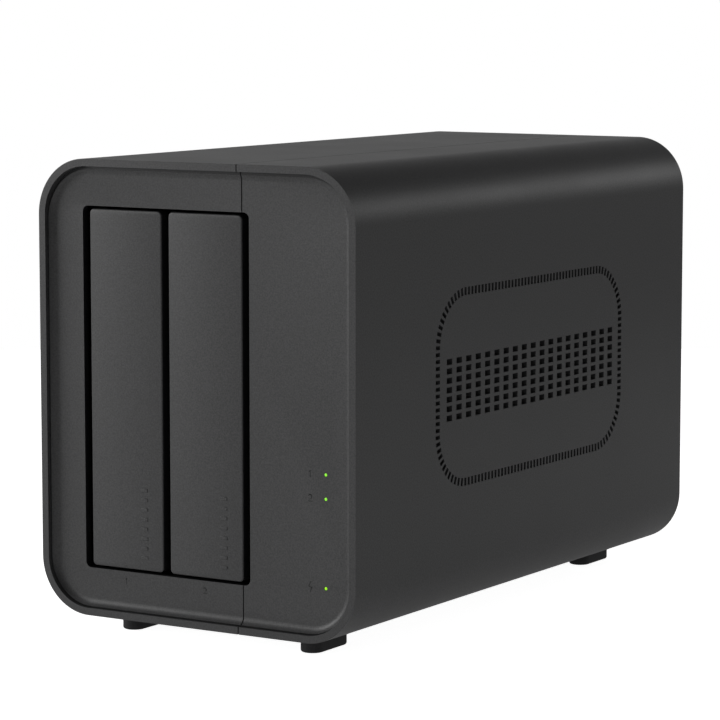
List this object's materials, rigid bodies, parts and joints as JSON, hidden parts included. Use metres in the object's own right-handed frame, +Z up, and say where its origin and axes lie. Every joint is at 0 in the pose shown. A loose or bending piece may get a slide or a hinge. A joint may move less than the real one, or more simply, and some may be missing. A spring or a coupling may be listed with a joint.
{
  "type": "network attached storage",
  "caption": "Desktop network storage box with a split rounded charcoal shell, side vents, slide-out drive trays with swing handles, status lights, rear fan and ports.",
  "frame": {"origin": "on the floor under the middle of the box", "axes": "+X right as seen by a person facing the front, +Y towards the rear, +Z up; the front with the trays faces -Y"},
  "size_m": [0.119, 0.222, 0.1523],
  "materials": {
    "case_plastic": "fine-grained charcoal moulded plastic",
    "front_plastic": "fine-grained charcoal moulded plastic",
    "rear_panel_plastic": "matte charcoal plastic",
    "tray_plastic": "black moulded plastic",
    "clip_plastic": "dark grey moulded plastic",
    "button_plastic": "charcoal plastic",
    "foot_rubber": "satin black rubber",
    "drive_light": "lit green light pipe",
    "power_light": "lit green light pipe",
    "cage_steel": "black coated sheet steel",
    "circuit_board": "green solder mask",
    "black_plastic": "black connector plastic",
    "socket_metal": "bright nickel-plated shell",
    "heat_sink": "extruded aluminium",
    "battery_steel": "bright steel",
    "fan_plastic": "black moulded plastic",
    "screw_steel": "dark zinc-plated steel",
    "drive_casting": "cast and milled aluminium"
  },
  "bodies": {
    "case": {"left_shell": "case_plastic", "right_shell": "case_plastic", "rear_panel": "rear_panel_plastic", "cage_top_plate": "cage_steel", "cage_bottom_plate": "cage_steel", "cage_left_wall": "cage_steel", "cage_centre_wall": "cage_steel", "cage_right_wall": "cage_steel", "board_rail_upper": "clip_plastic", "board_rail_lower": "clip_plastic", "backplane_board": "circuit_board", "sata_connector_1": "black_plastic", "sata_connector_2": "black_plastic", "link_connector": "black_plastic", "main_board": "circuit_board", "heat_sink": "heat_sink", "memory_slot": "black_plastic", "memory_module": "circuit_board", "clock_battery": "battery_steel", "lan_port_1": "socket_metal", "lan_port_2": "socket_metal", "usb_port_1": "socket_metal", "usb_port_2": "socket_metal", "dc_inlet": "black_plastic", "light_board": "circuit_board", "light_pipe_1": "drive_light", "light_pipe_2": "drive_light", "light_pipe_power": "power_light", "light_cable": "black_plastic", "power_switch": "black_plastic", "reset_switch": "black_plastic", "fan_frame": "fan_plastic", "panel_screw_1": "screw_steel", "panel_screw_2": "screw_steel", "panel_screw_3": "screw_steel", "panel_screw_4": "screw_steel", "fan_screw_1": "screw_steel", "fan_screw_2": "screw_steel", "fan_screw_3": "screw_steel", "fan_screw_4": "screw_steel", "foot_front_left": "foot_rubber", "foot_front_right": "foot_rubber", "foot_rear_left": "foot_rubber", "foot_rear_right": "foot_rubber"},
    "tray_1": {"tray_1_frame": "tray_plastic", "tray_1_clip_upper": "clip_plastic", "tray_1_clip_lower": "clip_plastic", "tray_1_drive": "drive_casting", "tray_1_pin": "screw_steel"},
    "tray_1_handle": {"tray_1_front": "front_plastic"},
    "tray_2": {"tray_2_frame": "tray_plastic", "tray_2_clip_upper": "clip_plastic", "tray_2_clip_lower": "clip_plastic", "tray_2_drive": "drive_casting", "tray_2_pin": "screw_steel"},
    "tray_2_handle": {"tray_2_front": "front_plastic"},
    "fan": {"fan_rotor": "fan_plastic"},
    "power_button": {"power_button": "button_plastic"},
    "reset_button": {"reset_button": "button_plastic"}
  },
  "joints": [
    {"name": "tray_1_slide", "type": "slide", "parent": "case", "child": "tray_1", "axis": [0, -1, 0], "range_m": [0, 0.16]},
    {"name": "tray_1_handle_swing", "type": "hinge", "parent": "tray_1", "child": "tray_1_handle", "pos_m": [-0.0278, -0.1058, 0.13419], "axis": [-1, 0, 0], "range_deg": [0, 30]},
    {"name": "tray_2_slide", "type": "slide", "parent": "case", "child": "tray_2", "axis": [0, -1, 0], "range_m": [0, 0.16]},
    {"name": "tray_2_handle_swing", "type": "hinge", "parent": "tray_2", "child": "tray_2_handle", "pos_m": [0.00255, -0.1058, 0.13419], "axis": [-1, 0, 0], "range_deg": [0, 30]},
    {"name": "fan_spin", "type": "hinge", "parent": "case", "child": "fan", "pos_m": [-0.01262, 0.094, 0.07919], "axis": [0, 1, 0], "continuous": true},
    {"name": "power_button_press", "type": "slide", "parent": "case", "child": "power_button", "axis": [0, -1, 0], "range_m": [0, 0.001], "stiffness_N_per_m": 800},
    {"name": "reset_button_press", "type": "slide", "parent": "case", "child": "reset_button", "axis": [0, -1, 0], "range_m": [0, 0.0008], "stiffness_N_per_m": 500}
  ]
}
